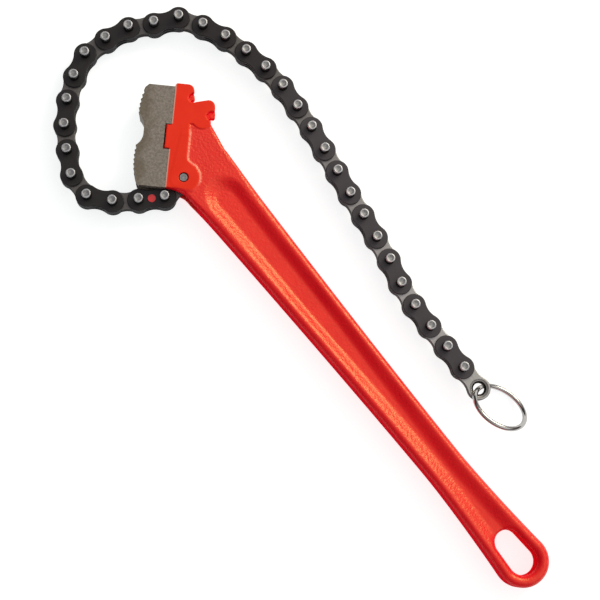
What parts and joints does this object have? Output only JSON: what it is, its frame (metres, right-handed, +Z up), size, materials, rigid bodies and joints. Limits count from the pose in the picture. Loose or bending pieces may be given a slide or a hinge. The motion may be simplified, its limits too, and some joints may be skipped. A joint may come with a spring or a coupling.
{
  "type": "chain wrench",
  "caption": "Chain wrench: cast red handle with hooked head, toothed jaw, leaf chain on an anchor pin and a pull ring, for gripping pipe.",
  "frame": {"origin": "on the flat underside of the head's pad, under the pad's middle, where the tool rests", "axes": "+X along the handle towards the hang hole, +Y towards the side where the chain lies, +Z up from the resting face, along every chain pin"},
  "size_m": [0.4281, 0.1511, 0.0261],
  "materials": {
    "red_paint": "orange-red enamel over a pebbled casting",
    "jaw_steel": "matt warm grey, heat stained",
    "dark_screw": "black oxide",
    "pin_steel": "ground steel",
    "red_mark": "plain red paint",
    "ring_chrome": "polished",
    "black_plate": "satin black oxide",
    "plain_plate": "dull bare steel"
  },
  "bodies": {
    "frame": {"handle": "red_paint", "jaw": "jaw_steel", "jaw_screw": "dark_screw", "anchor_pin": "pin_steel"},
    "link_01": {"inner_plates_01": "plain_plate"},
    "link_02": {"outer_plates_01": "black_plate", "link_pins_01": "pin_steel", "mark_disc": "red_mark"},
    "link_03": {"inner_plates_02": "plain_plate"},
    "link_04": {"outer_plates_02": "black_plate", "link_pins_02": "pin_steel"},
    "link_05": {"inner_plates_03": "plain_plate"},
    "link_06": {"outer_plates_03": "black_plate", "link_pins_03": "pin_steel"},
    "link_07": {"inner_plates_04": "plain_plate"},
    "link_08": {"outer_plates_04": "black_plate", "link_pins_04": "pin_steel"},
    "link_09": {"inner_plates_05": "plain_plate"},
    "link_10": {"outer_plates_05": "black_plate", "link_pins_05": "pin_steel"},
    "link_11": {"inner_plates_06": "plain_plate"},
    "link_12": {"outer_plates_06": "black_plate", "link_pins_06": "pin_steel"},
    "link_13": {"inner_plates_07": "plain_plate"},
    "link_14": {"outer_plates_07": "black_plate", "link_pins_07": "pin_steel"},
    "link_15": {"inner_plates_08": "plain_plate"},
    "link_16": {"outer_plates_08": "black_plate", "link_pins_08": "pin_steel"},
    "link_17": {"inner_plates_09": "plain_plate"},
    "link_18": {"outer_plates_09": "black_plate", "link_pins_09": "pin_steel"},
    "link_19": {"inner_plates_10": "plain_plate"},
    "link_20": {"outer_plates_10": "black_plate", "link_pins_10": "pin_steel"},
    "link_21": {"inner_plates_11": "plain_plate"},
    "link_22": {"outer_plates_11": "black_plate", "link_pins_11": "pin_steel"},
    "link_23": {"inner_plates_12": "plain_plate"},
    "link_24": {"outer_plates_12": "black_plate", "link_pins_12": "pin_steel"},
    "link_25": {"inner_plates_13": "plain_plate"},
    "link_26": {"outer_plates_13": "black_plate", "link_pins_13": "pin_steel"},
    "link_27": {"inner_plates_14": "plain_plate"},
    "link_28": {"outer_plates_14": "black_plate", "link_pins_14": "pin_steel"},
    "link_29": {"inner_plates_15": "plain_plate"},
    "link_30": {"outer_plates_15": "black_plate", "link_pins_15": "pin_steel"},
    "link_31": {"inner_plates_16": "plain_plate"},
    "link_32": {"outer_plates_16": "black_plate", "link_pins_16": "pin_steel"},
    "link_33": {"inner_plates_17": "plain_plate"},
    "ring": {"pull_ring": "ring_chrome"}
  },
  "joints": [
    {"name": "anchor_swing", "type": "hinge", "parent": "frame", "child": "link_01", "pos_m": [0.02103, -0.01378, 0.01], "axis": [0, 0, 1], "range_deg": [-2, 45]},
    {"name": "pin_01_swing", "type": "hinge", "parent": "link_01", "child": "link_02", "pos_m": [0.02242, -0.02959, 0.01], "axis": [0, 0, -1], "range_deg": [-45, 4]},
    {"name": "pin_02_swing", "type": "hinge", "parent": "link_02", "child": "link_03", "pos_m": [0.014, -0.04306, 0.01], "axis": [0, 0, -1], "range_deg": [-45, 4]},
    {"name": "pin_03_swing", "type": "hinge", "parent": "link_03", "child": "link_04", "pos_m": [0.0049, -0.05606, 0.01], "axis": [0, 0, -1], "range_deg": [-45, 4]},
    {"name": "pin_04_swing", "type": "hinge", "parent": "link_04", "child": "link_05", "pos_m": [-0.00753, -0.06594, 0.01], "axis": [0, 0, 1], "range_deg": [-3, 45]},
    {"name": "pin_05_swing", "type": "hinge", "parent": "link_05", "child": "link_06", "pos_m": [-0.02339, -0.06539, 0.01], "axis": [0, 0, 1], "range_deg": [-3, 45]},
    {"name": "pin_06_swing", "type": "hinge", "parent": "link_06", "child": "link_07", "pos_m": [-0.03741, -0.05793, 0.01], "axis": [0, 0, 1], "range_deg": [-3, 45]},
    {"name": "pin_07_swing", "type": "hinge", "parent": "link_07", "child": "link_08", "pos_m": [-0.05087, -0.04952, 0.01], "axis": [0, 0, 1], "range_deg": [-3, 45]},
    {"name": "pin_08_swing", "type": "hinge", "parent": "link_08", "child": "link_09", "pos_m": [-0.06239, -0.03859, 0.01], "axis": [0, 0, -1], "range_deg": [-45, 3]},
    {"name": "pin_09_swing", "type": "hinge", "parent": "link_09", "child": "link_10", "pos_m": [-0.07194, -0.02592, 0.01], "axis": [0, 0, -1], "range_deg": [-45, 2]},
    {"name": "pin_10_swing", "type": "hinge", "parent": "link_10", "child": "link_11", "pos_m": [-0.07927, -0.01183, 0.01], "axis": [0, 0, -1], "range_deg": [-45, 2]},
    {"name": "pin_11_swing", "type": "hinge", "parent": "link_11", "child": "link_12", "pos_m": [-0.07913, 0.00404, 0.01], "axis": [0, 0, -1], "range_deg": [-45, 2]},
    {"name": "pin_12_swing", "type": "hinge", "parent": "link_12", "child": "link_13", "pos_m": [-0.07637, 0.01967, 0.01], "axis": [0, 0, 1], "range_deg": [-2, 45]},
    {"name": "pin_13_swing", "type": "hinge", "parent": "link_13", "child": "link_14", "pos_m": [-0.06892, 0.03369, 0.01], "axis": [0, 0, 1], "range_deg": [-2, 45]},
    {"name": "pin_14_swing", "type": "hinge", "parent": "link_14", "child": "link_15", "pos_m": [-0.06259, 0.04825, 0.01], "axis": [0, 0, -1], "range_deg": [-45, 3]},
    {"name": "pin_15_swing", "type": "hinge", "parent": "link_15", "child": "link_16", "pos_m": [-0.04928, 0.0569, 0.01], "axis": [0, 0, 1], "range_deg": [-3, 45]},
    {"name": "pin_16_swing", "type": "hinge", "parent": "link_16", "child": "link_17", "pos_m": [-0.03467, 0.0631, 0.01], "axis": [0, 0, 1], "range_deg": [-3, 45]},
    {"name": "pin_17_swing", "type": "hinge", "parent": "link_17", "child": "link_18", "pos_m": [-0.01937, 0.06734, 0.01], "axis": [0, 0, -1], "range_deg": [-45, 3]},
    {"name": "pin_18_swing", "type": "hinge", "parent": "link_18", "child": "link_19", "pos_m": [-0.00376, 0.07023, 0.01], "axis": [0, 0, 1], "range_deg": [-4, 45]},
    {"name": "pin_19_swing", "type": "hinge", "parent": "link_19", "child": "link_20", "pos_m": [0.01209, 0.0712, 0.01], "axis": [0, 0, -1], "range_deg": [-45, 4]},
    {"name": "pin_20_swing", "type": "hinge", "parent": "link_20", "child": "link_21", "pos_m": [0.02791, 0.06996, 0.01], "axis": [0, 0, 1], "range_deg": [-4, 45]},
    {"name": "pin_21_swing", "type": "hinge", "parent": "link_21", "child": "link_22", "pos_m": [0.04371, 0.06843, 0.01], "axis": [0, 0, -1], "range_deg": [-45, 5]},
    {"name": "pin_22_swing", "type": "hinge", "parent": "link_22", "child": "link_23", "pos_m": [0.0594, 0.06595, 0.01], "axis": [0, 0, 1], "range_deg": [-5, 45]},
    {"name": "pin_23_swing", "type": "hinge", "parent": "link_23", "child": "link_24", "pos_m": [0.07505, 0.06333, 0.01], "axis": [0, 0, -1], "range_deg": [-45, 6]},
    {"name": "pin_24_swing", "type": "hinge", "parent": "link_24", "child": "link_25", "pos_m": [0.09069, 0.06057, 0.01], "axis": [0, 0, 1], "range_deg": [-7, 45]},
    {"name": "pin_25_swing", "type": "hinge", "parent": "link_25", "child": "link_26", "pos_m": [0.10641, 0.05837, 0.01], "axis": [0, 0, -1], "range_deg": [-45, 8]},
    {"name": "pin_26_swing", "type": "hinge", "parent": "link_26", "child": "link_27", "pos_m": [0.12209, 0.05588, 0.01], "axis": [0, 0, 1], "range_deg": [-9, 45]},
    {"name": "pin_27_swing", "type": "hinge", "parent": "link_27", "child": "link_28", "pos_m": [0.13772, 0.05313, 0.01], "axis": [0, 0, -1], "range_deg": [-45, 10]},
    {"name": "pin_28_swing", "type": "hinge", "parent": "link_28", "child": "link_29", "pos_m": [0.15312, 0.04929, 0.01], "axis": [0, 0, 1], "range_deg": [-11, 45]},
    {"name": "pin_29_swing", "type": "hinge", "parent": "link_29", "child": "link_30", "pos_m": [0.16884, 0.04708, 0.01], "axis": [0, 0, 1], "range_deg": [-14, 45]},
    {"name": "pin_30_swing", "type": "hinge", "parent": "link_30", "child": "link_31", "pos_m": [0.1847, 0.04625, 0.01], "axis": [0, 0, -1], "range_deg": [-45, 18]},
    {"name": "pin_31_swing", "type": "hinge", "parent": "link_31", "child": "link_32", "pos_m": [0.20057, 0.04597, 0.01], "axis": [0, 0, 1], "range_deg": [-25, 45]},
    {"name": "pin_32_swing", "type": "hinge", "parent": "link_32", "child": "link_33", "pos_m": [0.21644, 0.04569, 0.01], "axis": [0, 0, 1], "range_deg": [-39, 45]},
    {"name": "ring_swing", "type": "hinge", "parent": "link_33", "child": "ring", "pos_m": [0.23231, 0.04541, 0.01], "axis": [0, 0, 1], "range_deg": [-40, 75]}
  ]
}
